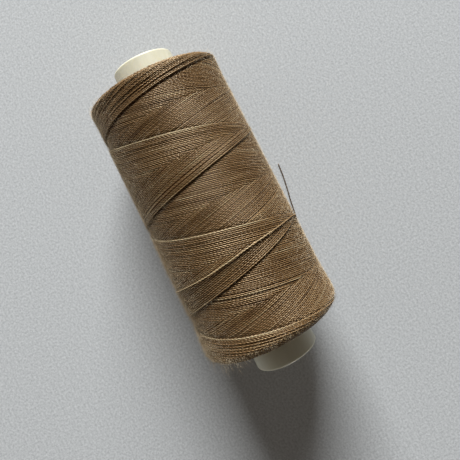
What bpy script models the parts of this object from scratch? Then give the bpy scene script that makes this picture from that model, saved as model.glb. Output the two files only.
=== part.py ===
"""A cross-wound spool of thread lying on its side: plastic tube, wound thread and loose end.

Metres, +Z up. The spool's axis runs along X, with the picture's upper end at -X. The origin is on the
table, under the middle of the tube.
"""

import math

import bmesh
import bpy
from mathutils import Vector

MM = 0.001

# Tube
TUBE_LENGTH = 81.5 * MM
TUBE_OUTER_DIAMETER = 16.0 * MM
TUBE_WALL = 1.5 * MM
TUBE_LIP_RADIUS = 0.6 * MM
TUBE_BORE_CHAMFER = 0.3 * MM

# Winding, measured over the outside of the thread
WINDING_DIAMETER = 35.0 * MM
WINDING_LENGTH = 67.5 * MM
BARE_TUBE_UPPER = 6.5 * MM
SHOULDER_RADIUS = 1.6 * MM

# Thread and its outer layer, which goes out along the spool and back several times
THREAD_DIAMETER = 0.4 * MM
CROSSING_GAP = 0.43 * MM
ROUND_TRIPS = 4
LOOPS_PER_ROUND_TRIP = 5.75
POINTS_PER_LOOP = 24
REVERSAL_TURNS = 0.2
SEAM_TURNS = 2.46
START_SKIP_TURNS = 0.25
START_BEND_STEPS = 4
FLAT_SHARE = 0.1

# Loose end, lying on the table: points along its middle, after the one where the winding ends
TAIL_LIFT = 0.02 * MM
TAIL_STEP_DIAMETERS = 2.5
TAIL_ROUTE_XY = [
    (23.0 * MM, 6.0 * MM),
    (22.7 * MM, 9.5 * MM),
    (21.4 * MM, 13.0 * MM),
    (19.1 * MM, 16.0 * MM),
    (16.3 * MM, 17.8 * MM),
    (13.4 * MM, 18.6 * MM),
    (9.1 * MM, 19.3 * MM),
    (5.3 * MM, 20.05 * MM),
    (1.8 * MM, 20.6 * MM),
    (-1.8 * MM, 20.95 * MM),
]

# Fits and facets
FIT_GAP = 0.3 * MM
TURNED_STEPS = 64
ARC_STEPS = 5
WELD_DISTANCE = 0.001 * MM

# Worked out from the sizes above
FLAT_DEPTH = THREAD_DIAMETER * FLAT_SHARE
WINDING_RADIUS = WINDING_DIAMETER / 2
AXIS_HEIGHT = WINDING_RADIUS - FLAT_DEPTH
TUBE_RADIUS = TUBE_OUTER_DIAMETER / 2
LAYER_STEP = THREAD_DIAMETER + CROSSING_GAP
OUTER_PASS_RADIUS = WINDING_RADIUS - THREAD_DIAMETER / 2
INNER_PASS_RADIUS = OUTER_PASS_RADIUS - LAYER_STEP
BODY_RADIUS = INNER_PASS_RADIUS - THREAD_DIAMETER / 2 - FIT_GAP
WINDING_LOW_X = -TUBE_LENGTH / 2 + BARE_TUBE_UPPER
WINDING_HIGH_X = WINDING_LOW_X + WINDING_LENGTH
TRAVERSE_LOW_X = WINDING_LOW_X + SHOULDER_RADIUS
TRAVERSE_HIGH_X = WINDING_HIGH_X - SHOULDER_RADIUS
LOOP_COUNT = round(ROUND_TRIPS * LOOPS_PER_ROUND_TRIP)
LOOPS_PER_PASS = LOOPS_PER_ROUND_TRIP / 2
LEAD = (TRAVERSE_HIGH_X - TRAVERSE_LOW_X) / LOOPS_PER_PASS
CORNER_ANGLE = math.pi / POINTS_PER_LOOP


def clear_scene():
    for obj in list(bpy.data.objects):
        bpy.data.objects.remove(obj, do_unlink=True)


def make_collection(name):
    collection = bpy.data.collections.new(name)
    bpy.context.scene.collection.children.link(collection)
    return collection


def make_material(name, colour, roughness):
    material = bpy.data.materials.new(name)
    material.use_nodes = True
    shader = material.node_tree.nodes["Principled BSDF"]
    shader.inputs["Base Color"].default_value = (*colour, 1.0)
    shader.inputs["Roughness"].default_value = roughness
    shader.inputs["Metallic"].default_value = 0.0
    material.diffuse_color = (*colour, 1.0)
    return material


def arc(centre_r, centre_z, radius, start_degrees, end_degrees):
    """Points (radius from the axis, height) of an arc in a turned profile."""
    points = []
    for step in range(ARC_STEPS + 1):
        angle = math.radians(start_degrees + (end_degrees - start_degrees) * step / ARC_STEPS)
        points.append((centre_r + radius * math.cos(angle), centre_z + radius * math.sin(angle)))
    return points


def turned(name, profile, material, collection, parent):
    """A ring turned about local Z from a closed profile that runs down its outer side."""
    mesh = bpy.data.meshes.new(name)
    vertices = [(r, 0.0, z) for r, z in profile]
    edges = [(i, (i + 1) % len(profile)) for i in range(len(profile))]
    mesh.from_pydata(vertices, edges, [])
    mesh.materials.append(material)
    obj = bpy.data.objects.new(name, mesh)
    collection.objects.link(obj)
    obj.parent = parent
    screw = obj.modifiers.new("Turn", "SCREW")
    screw.axis = "Z"
    screw.angle = 2 * math.pi
    screw.steps = TURNED_STEPS
    screw.render_steps = TURNED_STEPS
    screw.use_merge_vertices = True
    screw.merge_threshold = WELD_DISTANCE
    screw.use_smooth_shade = True
    return obj


def spool_tube(material, collection, spool_axis):
    """The plain tube: rounded outer edges, a small chamfer in the bore, a flat ring at each end."""
    top = TUBE_LENGTH / 2
    bore = TUBE_RADIUS - TUBE_WALL
    lip = TUBE_RADIUS - TUBE_LIP_RADIUS
    profile = arc(lip, top - TUBE_LIP_RADIUS, TUBE_LIP_RADIUS, 90, 0)
    profile += arc(lip, TUBE_LIP_RADIUS - top, TUBE_LIP_RADIUS, 0, -90)
    profile.append((bore + TUBE_BORE_CHAMFER, -top))
    profile.append((bore, TUBE_BORE_CHAMFER - top))
    profile.append((bore, top - TUBE_BORE_CHAMFER))
    profile.append((bore + TUBE_BORE_CHAMFER, top))
    return turned("spool_tube", profile, material, collection, spool_axis)


def wound_thread_body(material, collection, spool_axis):
    """The buried part of the winding, a ring on the tube with rounded shoulders."""
    inner = TUBE_RADIUS + FIT_GAP
    shoulder = BODY_RADIUS - SHOULDER_RADIUS
    profile = arc(shoulder, WINDING_HIGH_X - SHOULDER_RADIUS, SHOULDER_RADIUS, 90, 0)
    profile += arc(shoulder, WINDING_LOW_X + SHOULDER_RADIUS, SHOULDER_RADIUS, 0, -90)
    profile.append((inner, WINDING_LOW_X))
    profile.append((inner, WINDING_HIGH_X))
    return turned("wound_thread_body", profile, material, collection, spool_axis)


def smooth_step(value):
    return value * value * (3 - 2 * value)


def soft_distance(turns):
    """Distance from a reversal, rounded so that the thread turns back over REVERSAL_TURNS."""
    reach = REVERSAL_TURNS / 2
    if turns >= reach:
        return turns
    return (turns * turns + reach * reach) / (2 * reach)


def traverse(turn):
    """Place along X and share of the inner pass, for a turn counted from the seam.

    The thread goes towards +X on the outer pass and comes back on the inner one, so the passes cross
    without touching. It changes pass while it reverses.
    """
    from_high_end = (SEAM_TURNS + turn) % LOOPS_PER_ROUND_TRIP - LOOPS_PER_PASS
    distance = abs(from_high_end)
    from_low_end = LOOPS_PER_PASS - distance
    reach = REVERSAL_TURNS / 2
    if distance < reach:
        inner_share = smooth_step((from_high_end + reach) / (2 * reach))
    elif from_low_end < reach:
        past_low_end = -from_low_end if from_high_end > 0 else from_low_end
        inner_share = 1 - smooth_step((past_low_end + reach) / (2 * reach))
    else:
        inner_share = 1.0 if from_high_end > 0 else 0.0
    if distance < LOOPS_PER_PASS / 2:
        x = TRAVERSE_HIGH_X - LEAD * soft_distance(distance)
    else:
        x = TRAVERSE_LOW_X + LEAD * soft_distance(from_low_end)
    return x, inner_share


def around(x, radius, angle):
    """A point at an angle round the spool, with 0 towards +Y and a quarter turn at the top."""
    return Vector((x, radius * math.cos(angle), AXIS_HEIGHT + radius * math.sin(angle)))


def winding_angle(turn):
    """Angles are set so that a straight run between two points lies flat on the table."""
    return -math.pi / 2 + CORNER_ANGLE + 2 * math.pi * turn


def winding_point(turn):
    """The thread's middle. The radii are those of the straight runs, so the corners stand further out."""
    x, inner_share = traverse(turn)
    radius = OUTER_PASS_RADIUS - LAYER_STEP * inner_share
    return around(x, radius / math.cos(CORNER_ANGLE), winding_angle(turn))


def winding_start():
    """The buried end: straight out of the body, square to it, then bent round into the first loop."""
    turn = START_SKIP_TURNS
    first = winding_point(turn)
    along = (winding_point(turn + 1 / POINTS_PER_LOOP) - first).normalized()
    angle = winding_angle(turn)
    outward = Vector((0.0, math.cos(angle), math.sin(angle)))
    outward = (outward - along * outward.dot(along)).normalized()
    bend = THREAD_DIAMETER
    points = []
    for step in range(START_BEND_STEPS + 1):
        swing = math.pi / 2 * step / START_BEND_STEPS
        points.append(first - along * bend * math.cos(swing) - outward * bend * (1 - math.sin(swing)))
    foot_height = (first.yz - Vector((0.0, AXIS_HEIGHT))).length - BODY_RADIUS - FIT_GAP
    foot = points[0] - outward * (foot_height - bend)
    return [foot] + points[:-1]


def winding_points():
    """The whole route of the outer layer: buried end, loops, and a straight end that meets the tail."""
    points = winding_start()
    first = round(START_SKIP_TURNS * POINTS_PER_LOOP)
    for index in range(first, LOOP_COUNT * POINTS_PER_LOOP + 1):
        points.append(winding_point(index / POINTS_PER_LOOP))
    heading = (points[-1] - points[-2]).normalized()
    points.append(points[-1] + heading * THREAD_DIAMETER)
    return points


def least_gap(points):
    """Least gap of the winding to itself, on its points and the middles of its runs."""
    samples = []
    for one, two in zip(points, points[1:]):
        samples += [one, (one + two) / 2]
    apart = POINTS_PER_LOOP
    least = math.inf
    for index, one in enumerate(samples):
        for two in samples[index + apart:]:
            least = min(least, (one - two).length)
    return least - THREAD_DIAMETER


def thread_curve(name, points, bevel_resolution):
    curve = bpy.data.curves.new(name, "CURVE")
    curve.dimensions = "3D"
    curve.bevel_depth = THREAD_DIAMETER / 2
    curve.bevel_resolution = bevel_resolution
    curve.use_fill_caps = True
    spline = curve.splines.new("POLY")
    spline.points.add(len(points) - 1)
    for point, place in zip(spline.points, points):
        point.co = (*place, 1.0)
    return bpy.data.objects.new(name, curve)


def as_mesh(curve_object, name, collection):
    """A mesh copy of a curve, with its end caps welded on. The curve is removed."""
    collection.objects.link(curve_object)
    bpy.context.view_layer.update()
    evaluated = curve_object.evaluated_get(bpy.context.evaluated_depsgraph_get())
    mesh = bpy.data.meshes.new_from_object(evaluated)
    place = curve_object.matrix_world.copy()
    bpy.data.objects.remove(curve_object, do_unlink=True)
    welded = bmesh.new()
    welded.from_mesh(mesh)
    bmesh.ops.remove_doubles(welded, verts=welded.verts, dist=WELD_DISTANCE)
    welded.to_mesh(mesh)
    welded.free()
    mesh.name = name
    obj = bpy.data.objects.new(name, mesh)
    obj.matrix_world = place
    collection.objects.link(obj)
    return obj


def table_cutter(collection):
    """A block under the table's surface, which cuts the resting thread flat."""
    depth = WINDING_RADIUS
    bpy.ops.mesh.primitive_cube_add(size=1.0, location=(0.0, 0.0, -depth / 2))
    cutter = bpy.context.active_object
    cutter.name = "table_cutter"
    cutter.scale = (2 * TUBE_LENGTH, 2 * WINDING_DIAMETER, depth)
    for owner in list(cutter.users_collection):
        owner.objects.unlink(cutter)
    collection.objects.link(cutter)
    cutter.hide_render = True
    cutter.display_type = "WIRE"
    return cutter


def outer_thread_winding(points, material, collection, cutter):
    """The outer layer, one unbroken thread, cut flat where it rests on the table."""
    loops = as_mesh(thread_curve("winding_curve", points, 1), "outer_thread_winding", collection)
    loops.data.materials.clear()
    loops.data.materials.append(material)
    cut = loops.modifiers.new("Table", "BOOLEAN")
    cut.operation = "DIFFERENCE"
    cut.object = cutter
    return loops


def curve_through(points, parameter):
    """A smooth curve through the points, with the parameter counted in points."""
    index = min(int(parameter), len(points) - 2)
    share = parameter - index
    before = points[max(index - 1, 0)]
    one = points[index]
    two = points[index + 1]
    after = points[min(index + 2, len(points) - 1)]
    rise = (two - before) / 2
    fall = (after - one) / 2
    square = share * share
    cube = square * share
    start_part = one * (2 * cube - 3 * square + 1) + rise * (cube - 2 * square + share)
    end_part = two * (3 * square - 2 * cube) + fall * (cube - square)
    return start_part + end_part


def tail_points(winding_end):
    """The loose end from just past the winding's end, in even steps along a smooth curve."""
    height = THREAD_DIAMETER / 2 + TAIL_LIFT
    route = [Vector((winding_end.x, winding_end.y + FIT_GAP, height))]
    route += [Vector((x, y, height)) for x, y in TAIL_ROUTE_XY]
    fine_steps = 40 * (len(route) - 1)
    fine = [curve_through(route, step * (len(route) - 1) / fine_steps) for step in range(fine_steps + 1)]
    reach = [0.0]
    for one, two in zip(fine, fine[1:]):
        reach.append(reach[-1] + (two - one).length)
    count = round(reach[-1] / (TAIL_STEP_DIAMETERS * THREAD_DIAMETER))
    points = []
    for step in range(count + 1):
        wanted = reach[-1] * step / count
        nearest = min(range(len(fine)), key=lambda index: abs(reach[index] - wanted))
        points.append(fine[nearest])
    print(f"Loose end: {reach[-1] / MM:.1f} mm long, {len(points)} points")
    return points


def thread_tail(winding_end, material, collection):
    tail = thread_curve("thread_tail", tail_points(winding_end), 2)
    tail.data.materials.append(material)
    collection.objects.link(tail)
    return tail


def main():
    clear_scene()
    parts = make_collection("thread_spool")
    cutters = make_collection("cutters")

    spool_axis = bpy.data.objects.new("spool_axis", None)
    parts.objects.link(spool_axis)
    spool_axis.location = (0.0, 0.0, AXIS_HEIGHT)
    spool_axis.rotation_euler = (0.0, math.pi / 2, 0.0)

    cream_plastic = make_material("cream_moulded_plastic", (0.77, 0.74, 0.57), 0.45)
    buried_thread = make_material("tan_spun_thread_body", (0.13, 0.085, 0.045), 0.95)
    outer_thread = make_material("tan_spun_thread_winding", (0.22, 0.155, 0.085), 0.9)
    loose_thread = make_material("tan_spun_thread_tail", (0.17, 0.12, 0.07), 0.9)

    spool_tube(cream_plastic, parts, spool_axis)
    wound_thread_body(buried_thread, parts, spool_axis)
    route = winding_points()
    print(f"Winding: least gap to itself {least_gap(route) / MM:.3f} mm, {len(route)} points")
    outer_thread_winding(route, outer_thread, parts, table_cutter(cutters))
    thread_tail(route[-1], loose_thread, parts)


main()
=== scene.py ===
# %% [markdown]
# # A spool of waxed thread
# A short cream plastic tube carries a few hundred metres of tan two-ply thread. The winder laid the thread
# to and fro along the tube, so its surface is a lattice of long lozenges: in one the threads run one way, in
# the next they run the other way. This lesson rebuilds that winding thread by thread.
# The imported CAD model is the fixed frame, in metres, and each new piece stands for one of its nodes.

# %% Load the frame
import math

import bpy
import numpy as np
from mathutils import Matrix, Vector


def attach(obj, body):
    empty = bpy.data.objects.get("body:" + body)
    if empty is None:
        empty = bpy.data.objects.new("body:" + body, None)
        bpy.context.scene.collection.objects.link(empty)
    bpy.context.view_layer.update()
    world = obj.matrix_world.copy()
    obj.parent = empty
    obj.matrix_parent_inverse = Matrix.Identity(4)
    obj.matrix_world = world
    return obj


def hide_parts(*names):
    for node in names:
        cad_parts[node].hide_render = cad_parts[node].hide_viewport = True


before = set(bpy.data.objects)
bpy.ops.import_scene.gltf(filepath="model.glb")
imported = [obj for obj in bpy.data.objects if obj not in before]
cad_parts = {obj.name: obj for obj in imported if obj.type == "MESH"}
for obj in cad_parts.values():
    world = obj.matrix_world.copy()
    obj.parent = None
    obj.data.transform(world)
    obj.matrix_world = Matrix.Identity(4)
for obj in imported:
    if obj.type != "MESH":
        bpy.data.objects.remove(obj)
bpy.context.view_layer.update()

MM = 0.001
print("CAD nodes:", sorted(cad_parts))

# %% [markdown]
# ## Camera
# The picture was taken by hand from almost straight above. The spool's straight sides, the ends of the
# winding and the tube's rims were measured in the picture, and one camera was fitted to all of them.
# A look-at helper would only give the direction, so the camera's place and axes are written down as found.
# The picture is cut square from a taller one, so the lens axis meets it above its middle. That is the shift.

# %% Camera
PICTURE_SIDE = 460
FOCAL_PIXELS = 452.2
AXIS_ABOVE_MIDDLE = 76
SENSOR_MM = 36.0
NEAREST_SEEN = 5
camera_place = Vector((-1.113, 9.690, 132.638)) * MM
camera_right = Vector((0.45288, 0.89097, -0.03283))
camera_up = Vector((-0.88864, 0.45407, 0.06442))
camera_back = camera_right.cross(camera_up).normalized()
turned = Matrix((camera_right, camera_back.cross(camera_right), camera_back)).transposed()


def new_object(name, data):
    """A new object in the scene, at the origin."""
    made = bpy.data.objects.new(name, data)
    bpy.context.scene.collection.objects.link(made)
    return made


camera_data = bpy.data.cameras.new("picture_camera")
camera_data.sensor_width = SENSOR_MM
camera_data.lens = SENSOR_MM * FOCAL_PIXELS / PICTURE_SIDE
camera_data.shift_y = -AXIS_ABOVE_MIDDLE / PICTURE_SIDE
camera_data.clip_start = NEAREST_SEEN * MM
camera = new_object("picture_camera", camera_data)
camera.matrix_world = Matrix.Translation(camera_place) @ turned.to_4x4()
bpy.context.scene.camera = camera
print(f"Camera: lens {camera_data.lens:.2f} mm, shift {camera_data.shift_y:.3f}")

# %% [markdown]
# ## Node and colour helpers
# Materials are built in code, so two helpers come first. One turns an sRGB hex colour, as a paint program
# shows it, into the linear numbers that Blender's shaders use. The other adds one node, sets its properties
# and colour stops, and sets or links its sockets, so that each material reads as a short list.

# %% Node and colour helpers
def linear(hex_code):
    """An sRGB hex colour as linear red, green, blue and alpha."""
    channels = [int(hex_code[i:i + 2], 16) / 255 for i in (1, 3, 5)]
    straight = [c / 12.92 if c <= 0.04045 else ((c + 0.055) / 1.055) ** 2.4 for c in channels]
    return (*straight, 1.0)


def add(tree, kind, sockets=None, stops=(), **settings):
    """Adds one node: sets its properties and colour stops, then sets or links its sockets."""
    made = tree.nodes.new(kind)
    for key, value in settings.items():
        setattr(made, key, value)
    for number, (position, hex_code) in enumerate(stops):
        ramp = made.color_ramp.elements
        stop = ramp[number] if number < len(ramp) else ramp.new(position)
        stop.position = position
        stop.color = linear(hex_code)
    for key, value in (sockets or {}).items():
        if isinstance(value, bpy.types.NodeSocket):
            tree.links.new(value, made.inputs[key])
        else:
            made.inputs[key].default_value = value
    return made


def new_material(name):
    """An empty node material and its tree."""
    material = bpy.data.materials.new(name)
    material.use_nodes = True
    material.node_tree.nodes.clear()
    return material, material.node_tree


print("sRGB #808080 is", round(linear("#808080")[0], 4), "in linear light")

# %% [markdown]
# ## Fibres and their colour
# The thread is two plies of short polyester fibres, twisted together and lightly waxed. The plies are real
# geometry, so the material adds only what is finer: streaks of fibre along each ply, and a slow drift of
# colour along the thread, because the yarn is blended. The map named thread_uv gives millimetres along the
# thread and the way round it, and the attribute named tone makes some threads lighter than others, at random,
# and also carries the painted highlight and shade of a few threads.
# Fibres are about 0.015 mm wide, too fine to show, so the streaks are drawn about 0.06 mm wide.

# %% Fibres and their colour
STREAK_WIDTH = 0.06
STREAK_LENGTH = 0.55
ROUND_THREAD = 1.25
DRIFT_LENGTH = 9.0
STREAK_WEIGHT = 0.75
DRIFT_WEIGHT = 0.5
COLOUR_STOPS = (0.36, 0.68, 1.0)


def fibre_colour(tree, along, around, colours):
    """The streaks of fibre, and the colour that the streaks, the drift and the tone give together."""
    streak_u = add(tree, "ShaderNodeMath", {0: along, 1: 1 / STREAK_LENGTH}, operation="MULTIPLY")
    streak_v = add(tree, "ShaderNodeMath", {0: around, 1: ROUND_THREAD / STREAK_WIDTH}, operation="MULTIPLY")
    streak_at = add(tree, "ShaderNodeCombineXYZ", {"X": streak_u.outputs[0], "Y": streak_v.outputs[0]})
    streaks = add(
        tree, "ShaderNodeTexNoise",
        {"Vector": streak_at.outputs[0], "Scale": 1.0, "Detail": 3.0, "Roughness": 0.6},
    ).outputs[0]
    drift = add(
        tree, "ShaderNodeTexNoise",
        {"W": along, "Scale": 1 / DRIFT_LENGTH, "Detail": 3.0, "Roughness": 0.6},
        noise_dimensions="1D",
    ).outputs[0]
    # The tone attribute holds random tone and the painted highlight and shade of some threads.
    tone = add(tree, "ShaderNodeAttribute", attribute_name="tone").outputs["Fac"]
    streaked = add(tree, "ShaderNodeMath", {0: streaks, 1: STREAK_WEIGHT, 2: tone}, operation="MULTIPLY_ADD")
    blended = add(
        tree, "ShaderNodeMath", {0: drift, 1: DRIFT_WEIGHT, 2: streaked.outputs[0]}, operation="MULTIPLY_ADD",
    )
    ramp = add(
        tree, "ShaderNodeValToRGB", {"Fac": blended.outputs[0]}, stops=zip(COLOUR_STOPS, colours),
    )
    return streaks, ramp.outputs["Color"]


print(f"Streaks {STREAK_LENGTH} mm long, colour drifting over {DRIFT_LENGTH} mm")

# %% [markdown]
# ## Spun polyester thread
# The grooves between the plies and the sides toward the neighbouring threads are painted darker, as painted
# shade, and have no shine. The cosine of the way round is lowest in a groove, and the
# attribute named facing is low on the sides and underneath. Only the tops of the plies keep a weak, broken
# gloss, which shows as rows of short slanting dashes. The loose end is the same thread, painted darker and
# greyer, as painted shade.

# %% Spun polyester thread
PLY_COUNT = 2
GROOVE_SHADE = 0.85
SIDE_SHADE = 0.95
FIBRE_HEIGHT = 0.03


def painted_shade_share(tree, around):
    """How far a place lies in a groove between the plies or on a side of the thread, where shade is painted.
    """
    turn = add(tree, "ShaderNodeMath", {0: around, 1: PLY_COUNT * 2 * math.pi}, operation="MULTIPLY")
    lobe = add(tree, "ShaderNodeMath", {0: turn.outputs[0]}, operation="COSINE")
    groove = add(
        tree, "ShaderNodeMapRange",
        {"Value": lobe.outputs[0], "From Min": -1.0, "From Max": 0.5, "To Min": GROOVE_SHADE, "To Max": 0.0},
    )
    facing = add(tree, "ShaderNodeAttribute", attribute_name="facing").outputs["Fac"]
    side = add(
        tree, "ShaderNodeMapRange",
        {"Value": facing, "From Min": 0.1, "From Max": 0.95, "To Min": SIDE_SHADE, "To Max": 0.0},
    )
    deeper = {0: groove.outputs["Result"], 1: side.outputs["Result"]}
    return add(tree, "ShaderNodeMath", deeper, operation="MAXIMUM").outputs[0]


def spun_thread(name, colours, painted_shade_colour):
    """Two-ply spun polyester: matt, streaked along the plies, with painted shade and no shine in the grooves.
    """
    material, tree = new_material(name)
    place = add(tree, "ShaderNodeUVMap", uv_map="thread_uv")
    along_and_around = add(tree, "ShaderNodeSeparateXYZ", {"Vector": place.outputs["UV"]}).outputs
    streaks, fibres = fibre_colour(tree, along_and_around["X"], along_and_around["Y"], colours)
    painted_shade = painted_shade_share(tree, along_and_around["Y"])
    # Painted shade: the grooves and sides are mixed toward a near-black brown, and lose their shine.
    colour = add(
        tree, "ShaderNodeMix", {"Factor": painted_shade, 6: fibres, 7: linear(painted_shade_colour)}, data_type="RGBA",
    )
    rough = add(tree, "ShaderNodeMapRange", {"Value": streaks, "To Min": 0.25, "To Max": 0.46})
    shine = add(tree, "ShaderNodeMapRange", {"Value": painted_shade, "From Max": 1.0, "To Min": 1.0, "To Max": 0.0})
    bump = add(tree, "ShaderNodeBump", {"Height": streaks, "Strength": 0.5, "Distance": FIBRE_HEIGHT * MM})
    shader = add(
        tree, "ShaderNodeBsdfPrincipled",
        {"Base Color": colour.outputs[2], "Roughness": rough.outputs["Result"],
         "Normal": bump.outputs["Normal"], "Specular IOR Level": shine.outputs["Result"],
         "Specular Tint": linear("#FFE8C4"), "IOR": 1.8, "Sheen Weight": 0.15, "Sheen Roughness": 0.4,
         "Sheen Tint": linear("#EFE0C8")},
    )
    add(tree, "ShaderNodeOutputMaterial", {"Surface": shader.outputs["BSDF"]})
    return material


# The last colour of each material is its painted shade in the grooves.
THREAD_TAN = spun_thread("spun_polyester_two_ply_waxed", ("#6C4823", "#C39965", "#FFE9B9"), "#1C0E04")
# The loose end's colours are darker and greyer than the wound thread's: painted shade, as it lies low in the
# spool's shade.
THREAD_END_IN_PAINTED_SHADE = spun_thread("spun_polyester_two_ply_loose_end_painted_shade", ("#5C4A38", "#806A52", "#A58A6C"), "#3C2E22")
print("Thread materials:", THREAD_TAN.name, THREAD_END_IN_PAINTED_SHADE.name)

# %% [markdown]
# ## Plied thread as rings
# A round tube would show a smooth wire. On a two-ply thread the outline swells and narrows as the plies turn,
# so the section here is a six-sided lens with a ply at each end, and it turns once every lay length, a little
# unevenly. The columns of faces turn with it, so each column follows a ply. A curve with a bevel can't turn
# its section this way, so the rings are computed with numpy.

# %% Plied thread as rings
THREAD = 0.40
LAY_LENGTH = 1.7
RING_STEP = 0.243
TIP_SHARE = 0.35
# Uneven twist: its size in radians, its length in mm and how it moves with the phase.
UNEVEN = [(0.5, 1.3, 3), (0.4, 2.9, 5)]
# The section of two plies: angle in degrees and share of the radius.
SECTION = [(0, 1.0), (54, 0.7), (126, 0.7), (180, 1.0), (234, 0.7), (306, 0.7)]
SECTION_ANGLE = np.radians([angle for angle, _ in SECTION])
SECTION_REACH = np.array([reach for _, reach in SECTION])
SIDES = len(SECTION)


def unit(vectors):
    """The same directions, each one long."""
    return vectors / np.linalg.norm(vectors, axis=1, keepdims=True)


def along_path(points):
    """The distance of each point from the first one, along the path."""
    steps = np.linalg.norm(np.diff(points, axis=0), axis=1)
    return np.concatenate([[0.0], np.cumsum(steps)])


def plied_tube(points, outward, diameter, phase=0.0, tone=0.0):
    """Rings of one plied thread on a path in mm, with their reach, tone and how far they face outward."""
    reach = along_path(points)
    ahead = unit(np.gradient(points, axis=0))
    side = unit(np.cross(ahead, outward))
    up = np.cross(side, ahead)
    uneven = sum(size * np.sin(reach / long + times * phase) for size, long, times in UNEVEN)
    angle = (2 * math.pi * reach / LAY_LENGTH + phase + uneven)[:, None] + SECTION_ANGLE[None, :]
    radius = np.full(reach.shape, diameter / 2)
    radius[[0, -1]] *= TIP_SHARE
    spread = radius[:, None] * SECTION_REACH[None, :]
    rings = (
        points[:, None, :]
        + (spread * np.cos(angle))[:, :, None] * up[:, None, :]
        + (spread * np.sin(angle))[:, :, None] * side[:, None, :]
    )
    tones = np.broadcast_to(np.asarray(tone, float), reach.shape)
    return rings, reach, tones, np.cos(angle)


print(f"Thread: {THREAD} mm, one turn of the plies every {LAY_LENGTH} mm")

# %% [markdown]
# ## Faces and map of a thread
# Two corners of one ring and two of the next make a face, and a cap closes each end of the thread. The map
# follows the same faces: millimetres along the thread, and the way round it from 0 to 1. Threads that share
# a mesh lie one behind another on the map, so that no two have the same streaks.

# %% Faces and map of a thread
def tube_faces(count, offset):
    """The four-cornered faces between the rings of one thread, and its two caps."""
    near = np.arange(count - 1)[:, None] * SIDES + offset
    far = near + SIDES
    column = np.arange(SIDES)[None, :]
    beside = (column + 1) % SIDES
    quads = np.stack([near + column, near + beside, far + beside, far + column], 2)
    first = np.arange(SIDES)[::-1] + offset
    last = np.arange(SIDES) + offset + (count - 1) * SIDES
    return quads.reshape(-1, 4), np.stack([first, last])


def tube_map(reach, travelled):
    """The map of those faces and of the caps, from the distance that the map has already used."""
    turn = np.arange(SIDES + 1) / SIDES
    start, left = np.meshgrid(reach[:-1] + travelled, turn[:-1], indexing="ij")
    end, right = np.meshgrid(reach[1:] + travelled, turn[1:], indexing="ij")
    along = np.stack([start, start, end, end], 2)
    around = np.stack([left, right, right, left], 2)
    cap_along = np.repeat([travelled, travelled + reach[-1]], SIDES)
    cap_around = np.concatenate([turn[-2::-1], turn[:-1]])
    return np.stack([along, around], 3).reshape(-1, 2), np.stack([cap_along, cap_around], 1)


print("A short thread of 5 rings has", len(tube_faces(5, 0)[0]), "faces and 2 caps")

# %% [markdown]
# ## Threads joined to a mesh
# All the threads of a piece become one mesh of closed tubes. A second map named OFBake lays them out in rows,
# like lines of text, so that a texture can be baked on them.

# %% Threads joined to a mesh
MAP_ROWS = 64
ROW_FILL = 0.88


def bake_rows(thread_uv, starts, sizes, travelled):
    """The threads' map cut into rows: a face lies in the row of its first corner."""
    row_length = travelled / MAP_ROWS
    face_start = np.repeat(thread_uv[starts, 0], sizes)
    row = np.clip(np.floor(face_start / row_length), 0, MAP_ROWS - 1)
    row_u = (thread_uv[:, 0] - row * row_length) / (row_length + 2 * RING_STEP)
    row_v = (row + (1 - ROW_FILL) / 2 + ROW_FILL * thread_uv[:, 1]) / MAP_ROWS
    return np.stack([row_u, row_v], 1)


def thread_mesh(name, tubes, material):
    """One object of many closed plied tubes, with its two maps and its tone and facing attributes."""
    parts = []
    offset = 0
    travelled = 0.0
    for rings, reach, _, _ in tubes:
        parts.append([*tube_faces(len(rings), offset), *tube_map(reach, travelled)])
        offset += len(rings) * SIDES
        travelled += reach[-1] + LAY_LENGTH
    quads, caps, quad_map, cap_map = [np.concatenate(rows) for rows in zip(*parts)]
    rings, _, tones, facings = [np.concatenate(rows) for rows in zip(*tubes)]
    corners = np.concatenate([quads.ravel(), caps.ravel()])
    sizes = np.repeat([4, SIDES], [len(quads), len(caps)])
    starts = np.cumsum(sizes) - sizes
    thread_uv = np.concatenate([quad_map, cap_map])

    mesh = bpy.data.meshes.new(name)
    mesh.vertices.add(offset)
    mesh.vertices.foreach_set("co", (rings * MM).ravel())
    mesh.loops.add(len(corners))
    mesh.loops.foreach_set("vertex_index", corners.astype(np.int32))
    mesh.polygons.add(len(sizes))
    mesh.polygons.foreach_set("loop_start", starts.astype(np.int32))
    mesh.polygons.foreach_set("use_smooth", np.ones(len(sizes), bool))
    maps = {"thread_uv": thread_uv, "OFBake": bake_rows(thread_uv, starts, sizes, travelled)}
    for map_name, where in maps.items():
        layer = mesh.uv_layers.new(name=map_name, do_init=False)
        layer.uv.foreach_set("vector", where.astype(np.float32).ravel())
    mesh.uv_layers.active_index = 0
    mesh.uv_layers["thread_uv"].active_render = True
    attributes = {"tone": np.repeat(tones, SIDES), "facing": facings.ravel()}
    for attribute, values in attributes.items():
        row = mesh.attributes.new(attribute, "FLOAT", "POINT")
        row.data.foreach_set("value", values.astype(np.float32))
    mesh.update(calc_edges=True)
    mesh.validate()
    mesh.materials.append(material)
    return new_object(name, mesh)


print(f"A thread's mesh has {SIDES} sides and is baked in {MAP_ROWS} rows")

# %% [markdown]
# ## The loose end
# The end of the thread comes out from under the spool and lies on the paper beside it. It is the one free
# cord here, so it is made first, along the same points as its CAD solid. It is limp and light: it lies flat,
# held up only by the paper. A smooth curve runs through the points, in even steps.

# %% The loose end
END_HEIGHT = THREAD / 2 + 0.02
END_ROUTE = [
    (22.45, 2.97), (23.0, 6.0), (22.7, 9.5), (21.4, 13.0), (19.1, 16.0), (16.3, 17.8),
    (13.4, 18.6), (9.1, 19.3), (5.3, 20.05), (1.8, 20.6), (-1.8, 20.95),
]
CURVE_STEPS = 40


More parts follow.
